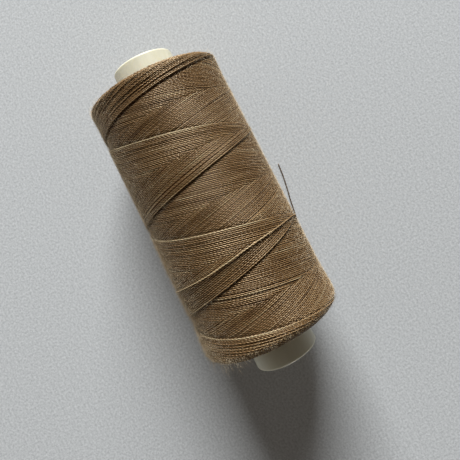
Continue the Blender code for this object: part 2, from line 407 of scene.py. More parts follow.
def smooth_path(points, step):
    """A smooth curve through the points, as even steps along it."""
    points = np.asarray(points, float)
    before = np.concatenate([points[:1], points, points[-1:]])
    slope = (before[2:] - before[:-2]) / 2
    share = np.linspace(0, 1, CURVE_STEPS, endpoint=False)[:, None]
    square = share ** 2
    cube = share ** 3
    fine = []
    for one in range(len(points) - 1):
        fine.append(
            points[one] * (2 * cube - 3 * square + 1) + slope[one] * (cube - 2 * square + share)
            + points[one + 1] * (3 * square - 2 * cube) + slope[one + 1] * (cube - square)
        )
    fine = np.concatenate([*fine, points[-1:]])
    reach = along_path(fine)
    even = np.linspace(0, reach[-1], max(2, round(reach[-1] / step) + 1))
    return np.stack([np.interp(even, reach, fine[:, axis]) for axis in range(3)], 1)


end_points = smooth_path([(x, y, END_HEIGHT) for x, y in END_ROUTE], RING_STEP / 2)
end_up = np.tile([0.0, 0.0, 1.0], (len(end_points), 1))
loose_end = thread_mesh("thread_loose_end", [plied_tube(end_points, end_up, THREAD)], THREAD_END_IN_PAINTED_SHADE)
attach(loose_end, "root")
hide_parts("thread_tail")

# %% [markdown]
# ## Paper
# The spool lies on a sheet of pale grey drawing paper. Its grain is about 0.6 mm across, and a noise of that
# size draws it: mostly as a mottle of two close greys, and a little as low bumps in the slanting light.

# %% Paper
PAPER_SIDE = 1.2
PAPER_GRAIN = 0.6
PAPER_TOOTH = 0.1
bpy.ops.object.select_all(action="DESELECT")
bpy.ops.mesh.primitive_plane_add(size=PAPER_SIDE, location=(0, 0, 0))
paper = bpy.context.object
paper.name = "paper"
paper_material, tree = new_material("drawing_paper_grey_white_toothed")
place = add(tree, "ShaderNodeTexCoord")
grain = add(
    tree, "ShaderNodeTexNoise",
    {"Vector": place.outputs["Object"], "Scale": 1 / (PAPER_GRAIN * MM), "Detail": 3.0, "Roughness": 0.6},
).outputs[0]
shade = add(tree, "ShaderNodeValToRGB", {"Fac": grain}, stops=[(0.3, "#B5B9BB"), (0.7, "#D8DCDE")])
tooth = add(tree, "ShaderNodeBump", {"Height": grain, "Strength": 0.5, "Distance": PAPER_TOOTH * MM})
shader = add(
    tree, "ShaderNodeBsdfPrincipled",
    {"Base Color": shade.outputs["Color"], "Roughness": 0.95, "Specular IOR Level": 0.15,
     "Normal": tooth.outputs["Normal"]},
)
add(tree, "ShaderNodeOutputMaterial", {"Surface": shader.outputs["BSDF"]})
paper.data.materials.append(paper_material)
print(f"Paper: {PAPER_SIDE} m square, grain {PAPER_GRAIN} mm")

# %% [markdown]
# ## Light
# One window lights the room, low beyond the top of the picture and slightly to its left, so the shadow falls
# down the picture from the lower end. A pale wall on the left sends a little light back to the left flank.
# Two area lamps stand for them, because their size gives the shadow its soft edge, and a dim room fills the
# rest. The backdrop that the camera sees has a brightness of its own, apart from the light of the room.

# %% Light
SPOOL_MIDDLE = Vector((0, 0, 17)) * MM
WINDOW_AWAY = 2.0
WINDOW_ROUND = math.radians(164.1)
WINDOW_UP = math.radians(23.4)
WINDOW_WATTS = 80
WINDOW_SIZE = (1.03, 0.76)
WALL_AWAY = 1.3
WALL_WATTS = 2.7
WALL_SIDE = 0.9
WALL_FROM = (-0.45, -0.87, 0.12)


def lamp(name, kind, watts, target, offset, **settings):
    """A lamp that stands off from its target, in metres, and faces it."""
    data = bpy.data.lights.new(name, kind)
    data.energy = watts
    for key, value in settings.items():
        setattr(data, key, value)
    made = new_object(name, data)
    made.location = target + offset
    made.rotation_euler = offset.to_track_quat("Z", "Y").to_euler()
    return made


window_from = Vector((
    math.cos(WINDOW_UP) * math.cos(WINDOW_ROUND),
    math.cos(WINDOW_UP) * math.sin(WINDOW_ROUND),
    math.sin(WINDOW_UP),
))
wall_from = Vector(WALL_FROM).normalized()
lamp(
    "window", "AREA", WINDOW_WATTS, SPOOL_MIDDLE, window_from * WINDOW_AWAY,
    shape="RECTANGLE", size=WINDOW_SIZE[0], size_y=WINDOW_SIZE[1],
)
lamp("pale_wall", "AREA", WALL_WATTS, SPOOL_MIDDLE, wall_from * WALL_AWAY, size=WALL_SIDE)

world = bpy.data.worlds.new("dim_room")
bpy.context.scene.world = world
world.use_nodes = True
world.node_tree.nodes.clear()
room = add(world.node_tree, "ShaderNodeBackground", {"Color": linear("#FFEEDE"), "Strength": 0.085})
seen = add(world.node_tree, "ShaderNodeBackground", {"Color": linear("#B9BCBC"), "Strength": 1.0})
ray = add(world.node_tree, "ShaderNodeLightPath")
either = add(
    world.node_tree, "ShaderNodeMixShader",
    {"Fac": ray.outputs["Is Camera Ray"], 1: room.outputs[0], 2: seen.outputs[0]},
)
add(world.node_tree, "ShaderNodeOutputWorld", {"Surface": either.outputs[0]})
bpy.context.scene.view_settings.view_transform = "Standard"
print("A window lamp, a pale wall and a dim room")

# %% [markdown]
# ## The winder's law
# A precision winder moves the thread along the tube and back while the tube turns. Here one pass is three
# turns, so a round trip is six, and each trip starts a thread's width behind the last one. After sixty trips
# the whole surface is covered once in each direction. Near the ends the travel slows before it turns back.
# The real travel is a little uneven, so each way has its own list of how far it drifts at which turn.

# %% The winder's law
WINDING_MIDDLE = -0.5
WINDING_HALF = 33.75
TURNS_PER_PASS = 3
HALF_TURNS = TURNS_PER_PASS / 2
TRIPS = 60
END_SLOWING = 0.45
TURN_BACK = 0.08
OUT_DRIFT = [
    (-1.5, 0.0), (-1.43, 1.3), (-1.25, 1.2), (-1.05, 0.4), (-0.75, 0.2), (-0.25, -0.1), (0.25, -0.8),
    (0.53, -1.7), (0.75, -1.85), (1.1, -1.2), (1.5, 0.0),
]
BACK_DRIFT = [
    (-1.5, 0.0), (-1.1, 0.6), (-0.75, 0.8), (-0.3, 0.2), (0.25, -0.2), (0.7, -0.2), (1.25, -0.15),
    (1.5, 0.0),
]
TABLE_SIZE = 3001
DRIFT_SMOOTHING = 401
LEAD_TURNS = 0.1
turns_table = np.linspace(-HALF_TURNS, HALF_TURNS, TABLE_SIZE)
speed = 1 - END_SLOWING * (np.abs(turns_table) / HALF_TURNS) ** 4
speed *= np.sqrt(np.clip((HALF_TURNS - np.abs(turns_table)) / TURN_BACK, 0, 1))
even_travel = np.concatenate([[0], np.cumsum((speed[1:] + speed[:-1]) / 2)])
even_travel *= 2 * (WINDING_HALF - THREAD / 2) / even_travel[-1]
even_travel += WINDING_MIDDLE - even_travel[TABLE_SIZE // 2]


def smoothed(values, width, **padding):
    """The values, each averaged over its neighbours in a bell of this odd width."""
    bell = np.hanning(width)
    return np.convolve(np.pad(values, width // 2, **padding), bell / bell.sum(), "valid")


def drifted(drift):
    """The even travel, shifted by a list of turns and mm."""
    turns, shifts = np.array(drift).T
    return even_travel + smoothed(np.interp(turns_table, turns, shifts), DRIFT_SMOOTHING)


TRAVEL = {1: drifted(OUT_DRIFT), -1: drifted(BACK_DRIFT)}


def travel(turns, way):
    """The place along the spool in mm, from the turns past the middle, on the way out (1) or back (-1)."""
    return np.interp(turns, turns_table, TRAVEL[way])


def turns_at(x, way):
    """The turns past the middle at which a thread on that way passes this place."""
    return np.interp(x, TRAVEL[way], turns_table)


lead = (travel(LEAD_TURNS, 1) - travel(-LEAD_TURNS, 1)) / (2 * LEAD_TURNS)
print(f"Lead at the middle {lead:.2f} mm a turn, threads {lead / TRIPS:.3f} mm apart along the spool")

# %% [markdown]
# ## The shape of the winding
# Two threads cross at any place, one on its way out and one on its way back, and the newer one lies on top.
# So the ages of both decide how high the surface is. The last thread laid leaves a step, which is the dark
# line or the bright edge that runs round the spool. The shoulders are rounded, the lower one most of all on
# top, and the crowded turns swell a little just before them. All that lies on the winding needs this surface,
# so it is written once, as a function of the place along the spool and the angle round it in turns.

# %% The shape of the winding
AXIS_HEIGHT = 17.46
TOP_RADIUS = 17.44
LAYER = 0.23
NEWEST_ANGLE = 179 / 360
UPPER_SHOULDER = 1.3
LOWER_SHOULDER = 2.5
FLANK_SHOULDER = 2.05
SHOULDER_END = 0.99
UPPER_SWELL = 0.2
LOWER_SWELL = 0.32
# Where each swelling starts and where it is full, in mm from the end.
UPPER_SWELL_RISE = (5, 1)
LOWER_SWELL_RISE = (9, 3)
# How far sideways a flank starts and is full, and how far up the swelling clears the floor.
FLANK_RISE = (0.1875, 0.8125)
OFF_THE_FLOOR = (-0.9, -0.4)


def rise(value, start, full):
    """0 at the start and before it, 1 where it is full and past that, and smooth between."""
    share = np.clip((value - start) / (full - start), 0, 1)
    return share * share * (3 - 2 * share)


def sideways(angle):
    """1 on the right flank of the spool, -1 on the left one, 0 between, from the angle in turns."""
    return np.cos(2 * math.pi * angle)


def upwards(angle):
    """1 on top of the spool, -1 underneath, 0 between, from the angle in turns."""
    return np.sin(2 * math.pi * angle)


def ages(x, angle):
    """The ages, from 0 to 1, of the two threads that cross at this place and angle in turns."""
    out_age = (angle - turns_at(x, 1) - NEWEST_ANGLE) % 1
    back_age = (angle + turns_at(x, -1) - NEWEST_ANGLE) % 1
    return out_age, back_age


def shoulder_drop(x, angle):
    """How far the rounded shoulder lies below the straight side, less the swelling before it."""
    from_end = WINDING_HALF - np.abs(x - WINDING_MIDDLE)
    on_flank = rise(np.abs(sideways(angle)), *FLANK_RISE)
    lower = LOWER_SHOULDER + (FLANK_SHOULDER - LOWER_SHOULDER) * on_flank
    at_lower_end = x > WINDING_MIDDLE
    shoulder = np.where(at_lower_end, lower, UPPER_SHOULDER)
    past = np.clip(shoulder - from_end, 0, shoulder * SHOULDER_END)
    swell = np.where(
        at_lower_end,
        LOWER_SWELL * rise(from_end, *LOWER_SWELL_RISE),
        UPPER_SWELL * rise(from_end, *UPPER_SWELL_RISE),
    )
    swell = swell * rise(upwards(angle), *OFF_THE_FLOOR)
    return shoulder - np.sqrt(shoulder ** 2 - past ** 2) - swell


def surface_radius(x, angle):
    """How far the winding's surface is from the axis."""
    out_age, back_age = ages(x, angle)
    return TOP_RADIUS - LAYER * (out_age + back_age) - shoulder_drop(x, angle)


def on_spool(x, radius, angle):
    """Points in mm, from the place along the spool, the distance from its axis and the angle in turns."""
    return np.stack([x, radius * sideways(angle), AXIS_HEIGHT + radius * upwards(angle)], 1)


def outwards(angle):
    """Directions straight away from the spool's axis."""
    return np.stack([np.zeros_like(angle), sideways(angle), upwards(angle)], 1)


print(f"Radius on top at the middle {float(surface_radius(0.0, 0.25)):.2f} mm")

# %% [markdown]
# ## Selecting by place
# Pieces that are modelled by hand need the right edges or faces selected. Picking them by number would break
# as soon as a step before changes, so a small helper picks them by where they are.

# %% Selecting by place
CLOSE = 0.01


def choose(piece, kind, test):
    """In edit mode, selects only the edges or faces whose corners, as rows of x, y, z in mm, pass a test."""
    bpy.ops.object.mode_set(mode="EDIT")
    bpy.ops.mesh.select_mode(type=kind)
    bpy.ops.mesh.select_all(action="DESELECT")
    bpy.ops.object.mode_set(mode="OBJECT")
    places = np.array([corner.co for corner in piece.data.vertices]) / MM
    for element in (piece.data.edges if kind == "EDGE" else piece.data.polygons):
        element.select = bool(np.all(test(places[list(element.vertices)])))
    bpy.ops.object.mode_set(mode="EDIT")


def off_axis(places):
    """The distance in mm of each place from the spool's axis."""
    return np.hypot(places[:, 1], places[:, 2] - AXIS_HEIGHT)


print("Places are tested in mm, with the axis at height", AXIS_HEIGHT)

# %% [markdown]
# ## The tube's wall
# The thread is wound on a short tube, moulded in cream plastic, open at both ends. It could be two cylinders,
# one cut from the other. Here it is made from one circle, with clean rows of faces: drawn out to the full
# length, stepped in by the wall, drawn back, and bridged to a closed wall.
# The outer lips are rounded and the bore has a small chamfer, as they leave the mould.

# %% The tube's wall
TUBE_HALF = 40.75
TUBE_RADIUS = 8.0
TUBE_WALL = 1.5
TUBE_LIP = 0.6
TUBE_CHAMFER = 0.3
TUBE_SIDES = 144
bpy.ops.object.select_all(action="DESELECT")
bpy.ops.mesh.primitive_circle_add(
    vertices=TUBE_SIDES, radius=TUBE_RADIUS * MM, fill_type="NOTHING",
    location=(-TUBE_HALF * MM, 0, AXIS_HEIGHT * MM), rotation=(0, math.pi / 2, 0),
)
tube = bpy.context.object
tube.name = "plastic_tube"
bpy.ops.object.transform_apply(location=True, rotation=True, scale=True)
bore_radius = TUBE_RADIUS - TUBE_WALL
bore_share = bore_radius / TUBE_RADIUS
full_length = 2 * TUBE_HALF * MM
bpy.ops.object.mode_set(mode="EDIT")
bpy.ops.mesh.select_all(action="SELECT")
bpy.ops.mesh.extrude_edges_move(TRANSFORM_OT_translate={"value": (full_length, 0, 0)})
bpy.ops.mesh.extrude_edges_move(TRANSFORM_OT_translate={"value": (0, 0, 0)})
bpy.ops.transform.resize(value=(1, bore_share, bore_share), center_override=(0, 0, AXIS_HEIGHT * MM))
bpy.ops.mesh.extrude_edges_move(TRANSFORM_OT_translate={"value": (-full_length, 0, 0)})
choose(tube, "EDGE", lambda at: at[:, 0] < 0)
bpy.ops.mesh.bridge_edge_loops()
TUBE_RIMS = [(TUBE_RADIUS, TUBE_LIP, 6), (bore_radius, TUBE_CHAMFER, 2)]
for rim_radius, offset, segments in TUBE_RIMS:
    for side in (-1, 1):
        choose(
            tube, "EDGE",
            lambda at: (at[:, 0] * side > 0) & (np.abs(off_axis(at) - rim_radius) < CLOSE),
        )
        bpy.ops.mesh.bevel(offset=offset * MM, segments=segments)
bpy.ops.mesh.select_all(action="SELECT")
bpy.ops.mesh.normals_make_consistent(inside=False)
bpy.ops.object.mode_set(mode="OBJECT")
bpy.ops.object.shade_smooth_by_angle(angle=math.radians(35))
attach(tube, "root")
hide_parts("spool_tube")
print("Tube:", len(tube.data.polygons), "faces")

# %% [markdown]
# ## Cream satin plastic
# The tube is an inexpensive polystyrene, cream and slightly milky: light enters a little and softens the
# shade. Its skin is satin from the mould, with faint flow marks along the tube, about 1.6 mm wide.

# %% Cream satin plastic
FLOW_WIDTH = 1.6
FLOW_STRETCH = 0.25
FLOW_HEIGHT = 0.03
MILKY_DEPTH = 0.8
tube_material, tree = new_material("polystyrene_cream_satin_moulded")
place = add(tree, "ShaderNodeTexCoord")
stretch = add(
    tree, "ShaderNodeMapping", {"Vector": place.outputs["Object"], "Scale": (FLOW_STRETCH, 1.0, 1.0)},
)
flow = add(
    tree, "ShaderNodeTexNoise",
    {"Vector": stretch.outputs["Vector"], "Scale": 1 / (FLOW_WIDTH * MM), "Detail": 4.0, "Roughness": 0.6},
).outputs[0]
shade = add(tree, "ShaderNodeValToRGB", {"Fac": flow}, stops=[(0.25, "#D3D1BA"), (0.75, "#DBD9C4")])
satin = add(tree, "ShaderNodeMapRange", {"Value": flow, "To Min": 0.34, "To Max": 0.5})
skin = add(tree, "ShaderNodeBump", {"Height": flow, "Strength": 0.05, "Distance": FLOW_HEIGHT * MM})
shader = add(
    tree, "ShaderNodeBsdfPrincipled",
    {"Base Color": shade.outputs["Color"], "Roughness": satin.outputs["Result"],
     "Normal": skin.outputs["Normal"], "Subsurface Weight": 0.25, "Subsurface Scale": MILKY_DEPTH * MM,
     "Subsurface Radius": (1.0, 0.9, 0.6)},
)
add(tree, "ShaderNodeOutputMaterial", {"Surface": shader.outputs["BSDF"]})
tube.data.materials.append(tube_material)
print("Tube material:", tube_material.name)

# %% [markdown]
# ## Light on the lip
# The lower lip of the tube shows as a fine bright line against the shadow. A paler plastic would be paler all
# over, so a small lamp low on the table gives it. Its narrow beam comes in almost level along the axis, and
# meets little but the tube's end.

# %% Light on the lip
LIP_LAMP_WATTS = 1.8
LIP_LAMP_AWAY = 300
LIP_LAMP_ABOVE = 4
LIP_LAMP_RADIUS = 10
BEAM_MARGIN = 0.3
lip_beam = 2 * math.atan2(TUBE_RADIUS + BEAM_MARGIN, LIP_LAMP_AWAY)
lamp(
    "lip_lamp", "SPOT", LIP_LAMP_WATTS, Vector((TUBE_HALF, 0, AXIS_HEIGHT)) * MM,
    Vector((LIP_LAMP_AWAY, 0, LIP_LAMP_ABOVE)) * MM,
    spot_size=lip_beam, spot_blend=0.05, shadow_soft_size=LIP_LAMP_RADIUS * MM,
)
print(f"Lip lamp: a beam {math.degrees(lip_beam):.1f} degrees wide")

# %% [markdown]
# ## The thread underneath
# Under the outer layer lies the rest of the thread, packed hard on the tube. It shows only as shade in the
# gaps, so it is turned as one body: a cylinder with its ends inset and bridged to a hole for the tube, with
# rounded shoulders. Its side is then pressed to follow the steps of the threads above.

# %% The thread underneath
BODY_RADIUS = 16.6
BODY_HALF = 33.15
BODY_BELOW = 0.46
BODY_SIDES = 120
BODY_BEVEL = 0.5
RIM_ROOM = 0.1
HOLE_ROOM = 0.5
SIDE_CUTS = 119
bpy.ops.object.select_all(action="DESELECT")
bpy.ops.mesh.primitive_cylinder_add(
    vertices=BODY_SIDES, radius=BODY_RADIUS * MM, depth=2 * BODY_HALF * MM,
    location=(WINDING_MIDDLE * MM, 0, AXIS_HEIGHT * MM), rotation=(0, math.pi / 2, 0),
)
body = bpy.context.object
body.name = "thread_underneath"
bpy.ops.object.transform_apply(location=True, rotation=True, scale=True)


def on_rim(at):
    """Whether places are on the outside of the body."""
    return off_axis(at) > BODY_RADIUS - RIM_ROOM


body_ends = [WINDING_MIDDLE - BODY_HALF, WINDING_MIDDLE + BODY_HALF]
for end_place in body_ends:
    choose(body, "FACE", lambda at: np.abs(at[:, 0] - end_place) < CLOSE)
    bpy.ops.mesh.inset(thickness=(BODY_RADIUS - TUBE_RADIUS) * MM)
    bpy.ops.mesh.delete(type="FACE")
choose(body, "EDGE", lambda at: off_axis(at) < TUBE_RADIUS + HOLE_ROOM)
bpy.ops.mesh.bridge_edge_loops()
choose(body, "EDGE", lambda at: (np.ptp(at[:, 0]) > BODY_HALF) & on_rim(at))
bpy.ops.mesh.subdivide(number_cuts=SIDE_CUTS)
for end_place in body_ends:
    choose(body, "EDGE", lambda at: (np.abs(at[:, 0] - end_place) < CLOSE) & on_rim(at))
    bpy.ops.mesh.bevel(offset=BODY_BEVEL * MM, segments=3)
bpy.ops.mesh.select_all(action="SELECT")
bpy.ops.mesh.normals_make_consistent(inside=False)
bpy.ops.object.mode_set(mode="OBJECT")
places = np.array([corner.co for corner in body.data.vertices]) / MM
reach = off_axis(places)
turns = np.arctan2(places[:, 2] - AXIS_HEIGHT, places[:, 1]) / (2 * math.pi)
pressed = surface_radius(places[:, 0], turns) - BODY_BELOW - (BODY_RADIUS - reach)
reach = np.where(reach > BODY_RADIUS - BODY_BEVEL - RIM_ROOM, pressed, reach)
body.data.vertices.foreach_set("co", (on_spool(places[:, 0], reach, turns) * MM).ravel())
body.data.update()
bpy.ops.object.shade_smooth_by_angle(angle=math.radians(40))
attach(body, "root")
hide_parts("wound_thread_body")
print("Body under the threads:", len(body.data.polygons), "faces")

# %% [markdown]
# ## Packed thread in shade
# What shows between the threads is more thread, dark because little light gets there. It is drawn as a soft
# brown mottle as coarse as the thread, dull all over.

# %% Packed thread in shade
body_material, tree = new_material("spun_polyester_packed_in_shade")
place = add(tree, "ShaderNodeTexCoord")
mottle = add(tree, "ShaderNodeTexNoise", {"Vector": place.outputs["Object"], "Scale": 1 / (THREAD * MM)})
shade = add(
    tree, "ShaderNodeValToRGB", {"Fac": mottle.outputs[0]}, stops=[(0.3, "#3A2614"), (0.7, "#6B4A2B")],
)
shader = add(tree, "ShaderNodeBsdfPrincipled", {"Base Color": shade.outputs["Color"], "Roughness": 0.9})
add(tree, "ShaderNodeOutputMaterial", {"Surface": shader.outputs["BSDF"]})
body.data.materials.append(body_material)
print("Body material:", body_material.name)

# %% [markdown]
# ## The path of a round trip
# Each round trip is one long path, and only the stretches that lie on top are kept, with a few millimetres at
# each end where the thread dives under the other set. Beside a newer thread the path dips a little, so that
# the step shows as a dark line.

# %% The path of a round trip
HOP = 0.05
UNDER = 0.03
DIP = 0.2
DIP_WIDTH = 0.5
SHOWN_PAST = 1.2 * HOP
UPPER_DIP = 1.2
UPPER_DIP_RISE = (-20, -25)
WOUND_RADIUS = 17.2
GIRTH = 2 * math.pi * WOUND_RADIUS


def trip_path(trip):
    """One round trip: its turns, places, angles, radii, what shows and how old it is."""
    turn = np.arange(0, 2 * TURNS_PER_PASS, RING_STEP / GIRTH)
    out = turn < TURNS_PER_PASS
    from_middle = np.where(out, turn - HALF_TURNS, 3 * HALF_TURNS - turn)
    x = np.where(out, travel(from_middle, 1), travel(from_middle, -1))
    own_age = 1 - (trip + turn / (2 * TURNS_PER_PASS)) / TRIPS
    other_turns = np.where(out, turns_at(x, -1), turns_at(x, 1))
    other_age = (own_age + np.where(out, 1, -1) * (from_middle + other_turns)) % 1
    angle = NEWEST_ANGLE + own_age + turn - HALF_TURNS
    below = rise(own_age - other_age, -HOP / 2, HOP / 2)
    top = TOP_RADIUS - LAYER * (own_age + other_age)
    dip = DIP * np.exp(-(((1 - other_age) * lead / DIP_WIDTH) ** 2)) * (1 - below)
    dip = dip * (1 + UPPER_DIP * rise(x, *UPPER_DIP_RISE))
    radius = top - THREAD / 2 - LAYER * below - dip
    shown = (other_age > own_age - SHOWN_PAST) | (other_age < UNDER)
    return turn, from_middle, x, angle, radius, shown, own_age


print("Rings on one round trip:", len(trip_path(0)[0]))

# %% [markdown]
# ## The wound threads
# The threads don't lie evenly: each one wanders a little, and a few are out of line, which leaves a fine dark
# gap or a bright edge; these few are also painted lighter where raised and darker where sunk, as painted
# highlight and shade. Near the ends the threads crowd, so some sink between the others: every second one
# on the left of the lower end, and here and there at the upper end. The newest threads are painted paler,
# except on the right flank, as a painted highlight along their edge.
# Ten pieces of six trips each keep every mesh small enough to export whole.

# %% The wound threads
WANDER = 0.014
WANDER_RATES = (0.35, 0.9, 1.7, 3.1, 5.3)
WANDER_SUM = 1.7
RATE_SPREAD = (0.8, 1.2)
RATE_FALL = 0.35
SHIFT_SPREAD = 0.018
LIFT_SPREAD = 0.02
TONE_SPREAD = 0.06
WIDTH_SHARE = 0.97
WIDTH_SPREAD = 0.02
CROWDED = (1.12, 1.37)
SINK = 0.09
UPPER_SINK = 1.5 * SINK
SINK_RATE = 2.5
HERE_AND_THERE = (-1 / 3, 1 / 3)
LEFT_SIDE = (0.2, -0.2)
PAINTED_HIGHLIGHT_SIDE = (0.8, 0.2)
NEWEST_SHARE = 0.02
NEWEST_LIFT = 0.03
OUT_HIGHLIGHT = 0.16
BACK_HIGHLIGHT = 0.36
FEWEST_RINGS = 6
TRIPS_PER_PIECE = 6
# Threads out of line: round trip, turn in it, length in turns, shift along the spool, lift, and a tone of
# painted highlight or shade.
OUT_OF_LINE = [
    (56, 1.3, 0.45, -0.10, 0.0, 0.0), (54, 1.35, 0.4, -0.08, 0.0, 0.0), (51, 1.4, 0.5, -0.09, 0.0, 0.0),
    (44, 1.8, 0.4, 0.09, 0.0, 0.0), (38, 1.75, 0.3, 0.1, 0.0, 0.0), (31, 0.6, 0.3, -0.09, 0.0, 0.0),
    (24, 3.72, 0.26, 0.03, 0.06, 0.14), (23, 3.72, 0.28, -0.03, 0.06, 0.14),
    (22, 3.72, 0.26, 0.07, -0.05, -0.05), (25, 3.72, 0.26, -0.07, -0.06, -0.08),
    (40, 4.4, 0.3, 0.06, 0.04, 0.12), (33, 5.2, 0.4, 0.07, 0.05, 0.12),
    (20, 4.9, 0.3, 0.08, 0.0, 0.0), (12, 2.3, 0.35, 0.09, 0.04, 0.1),
]
dice = np.random.default_rng(20)


def wandering(turn, size):
    """A slow seeded wave along one thread, of about this size in mm."""
    wave = np.zeros_like(turn)
    for rate in WANDER_RATES:
        own_rate = rate * dice.uniform(*RATE_SPREAD)
        wave += np.sin(2 * math.pi * (own_rate * turn + dice.random())) / rate ** RATE_FALL
    return wave * size / WANDER_SUM


def wound_thread(trip):
    """The stretches of one round trip that show, as plied tubes."""
    turn, from_middle, x, angle, radius, shown, own_age = trip_path(trip)
    near_end = rise(np.abs(from_middle), *CROWDED)
    newest = np.exp(-((own_age / NEWEST_SHARE) ** 2))
    shift = wandering(turn, WANDER) + dice.normal(0, SHIFT_SPREAD)
    lift = np.full_like(turn, dice.normal(0, LIFT_SPREAD))
    tone = np.full_like(turn, dice.normal(0, TONE_SPREAD))
    # Raised threads out of line are toned lighter and sunk ones darker: painted highlight and shade.
    for which, where, long, aside, above, painted_light in OUT_OF_LINE:
        if which == trip:
            here = np.exp(-(((turn - where) / long) ** 4))
            shift = shift + aside * here
            lift = lift + above * here
            tone = tone + painted_light * here
    x = x + shift * (1 - near_end)
    wave = np.sin(2 * math.pi * (SINK_RATE * turn + dice.random()))
    sink_below = SINK * (trip % 2) * rise(sideways(angle), *LEFT_SIDE)
    sink_above = UPPER_SINK * rise(wave, *HERE_AND_THERE) * (1 - newest)
    sink = near_end * np.where(from_middle > 0, sink_below, sink_above)
    radius = radius + lift - shoulder_drop(x, angle) - sink + NEWEST_LIFT * newest
    points = on_spool(x, radius, angle)
    outward = outwards(angle)
    # Painted highlight: the newest threads are made paler, except on the right flank.
    painted_highlight = np.where(turn < TURNS_PER_PASS, OUT_HIGHLIGHT, BACK_HIGHLIGHT)
    tone = tone + painted_highlight * newest * rise(sideways(angle), *PAINTED_HIGHLIGHT_SIDE)
    phase = dice.random() * 2 * math.pi
    diameter = THREAD * (WIDTH_SHARE + dice.normal(0, WIDTH_SPREAD))
    edges = np.flatnonzero(np.diff(np.concatenate([[0], shown.astype(int), [0]])))
    stretches = [slice(*ends) for ends in edges.reshape(-1, 2) if np.ptp(ends) >= FEWEST_RINGS]
    return [plied_tube(points[on], outward[on], diameter, phase, tone[on]) for on in stretches]


wound_faces = 0
for number in range(TRIPS // TRIPS_PER_PIECE):
    tubes = []
    for trip in range(number * TRIPS_PER_PIECE, (number + 1) * TRIPS_PER_PIECE):
        tubes += wound_thread(trip)
    piece = thread_mesh(f"wound_thread_layer_{number + 1:02d}", tubes, THREAD_TAN)
    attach(piece, "root")
    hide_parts("outer_thread_winding")
    wound_faces += len(piece.data.polygons)
print(f"{TRIPS // TRIPS_PER_PIECE} pieces of wound thread, {wound_faces} faces")

# %% [markdown]
# ## The last turn
# The newest thread of all was pulled back over the winding when the end came loose. It lies across the others
# by its full thickness, so the low light gives it a bright edge and a wide shadow, and it runs round the
# right flank to the place under the spool where the loose end starts. It is also painted paler, except on the
# right flank, as a painted highlight. It is drawn on the unrolled side: angle in degrees, place along the
# spool, and height above the threads below.

# %% The last turn
LAST_TURN = [
    (236, 17.9, -0.75), (222, 17.2, -0.1), (200, 16.2, 0.19), (154, 14.4, 0.21), (115, 13.2, 0.21),
    (97, 12.4, 0.21), (74, 11.4, 0.2), (48, 10.9, 0.16), (25, 10.8, 0.1), (5, 11.6, 0.08),
    (-20, 13.6, 0.1), (-45, 16.8, 0.16), (-65, 20.0, 0.21), (-80.3, 22.45, 0.21),
]
LAST_SMOOTHING = 31
TO_FLOOR = (-50, -80)
LAST_TONE = 0.05
LAST_PAINTED_HIGHLIGHT = 0.21
LAST_PAINTED_HIGHLIGHT_SIDE = (0.85, 0.35)
LAST_WIDTH = 1.05 * THREAD
END_RADIUS = math.hypot(END_ROUTE[0][1], AXIS_HEIGHT - END_HEIGHT)
arc = GIRTH / 360
flat_route = smooth_path([(degrees * arc, x, lift) for degrees, x, lift in LAST_TURN], RING_STEP / 2)
last_angle = flat_route[:, 0] / arc / 360
last_x = flat_route[:, 1]
last_radius = smoothed(surface_radius(last_x, last_angle), LAST_SMOOTHING, mode="edge") + flat_route[:, 2]
to_floor = rise(last_angle * 360, *TO_FLOOR)
last_radius = last_radius * (1 - to_floor) + END_RADIUS * to_floor
# Painted highlight: the last turn is paler, except on the right flank.
last_tone_and_highlight = LAST_TONE + LAST_PAINTED_HIGHLIGHT * rise(sideways(last_angle), *LAST_PAINTED_HIGHLIGHT_SIDE)
last_points = on_spool(last_x, last_radius, last_angle)
last_tube = plied_tube(last_points, outwards(last_angle), LAST_WIDTH, tone=last_tone_and_highlight)
last_turn = thread_mesh("thread_last_turn", [last_tube], THREAD_TAN)
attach(last_turn, "root")
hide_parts("outer_thread_winding")
print(f"Last turn: {along_path(last_points)[-1]:.1f} mm of thread")

# %% [markdown]
# ## The ends of the winding
# At each end the thread turns back: it slows, runs round the rim for a short arc, and dives back under the
# turns laid after it. Seen from the end, the winding is hundreds of such arcs, ring upon ring. Each arc here
# is a short plied thread that is nearest the end at its middle and sinks at both tips. The arcs of a ring
# follow one another a little more than twice round, so that no tip leaves a gap.

# %% The ends of the winding
RING_GAP = 0.37
FIRST_RING = TUBE_RADIUS + 0.25
ARC_HALVES = (0.06, 0.15)
ARC_COVER = 2.2
ARC_SINK = 0.4
ARC_STEP = 0.34
ARC_WIDTH = 1.02 * THREAD
FEWEST_ARC_RINGS = 7
END_BULGE = 0.25
SLOPE_START = 15.6
OUT_SPREAD = 0.09
RADIUS_SPREAD = 0.08
TILT = 0.1
ARC_TONE_SPREAD = 0.05
# Each end: its side, its name, how far it stands out, its widest ring and how fast the last rings fall back.
WINDING_ENDS = [(-1, "upper", 0.12, 16.4, 0.0), (1, "lower", 0.46, 16.65, 0.6)]


def end_arc(side, ring_radius, middle, half_arc, out):
    """One arc of thread on an end of the winding, from its middle and half its length in turns."""
    count = max(FEWEST_ARC_RINGS, round(2 * half_arc * 2 * math.pi * ring_radius / ARC_STEP))
    share = np.linspace(-1, 1, count)
    out = out + dice.normal(0, OUT_SPREAD) - ARC_SINK * share ** 2
    radius = ring_radius + dice.normal(0, RADIUS_SPREAD) + TILT * share * dice.normal(0, 1)
    points = on_spool(WINDING_MIDDLE + side * out, radius, middle + half_arc * share)
    outward = np.tile([float(side), 0.0, 0.0], (count, 1))
    phase = dice.random() * 2 * math.pi
    return plied_tube(points, outward, ARC_WIDTH, phase, dice.normal(0, ARC_TONE_SPREAD))


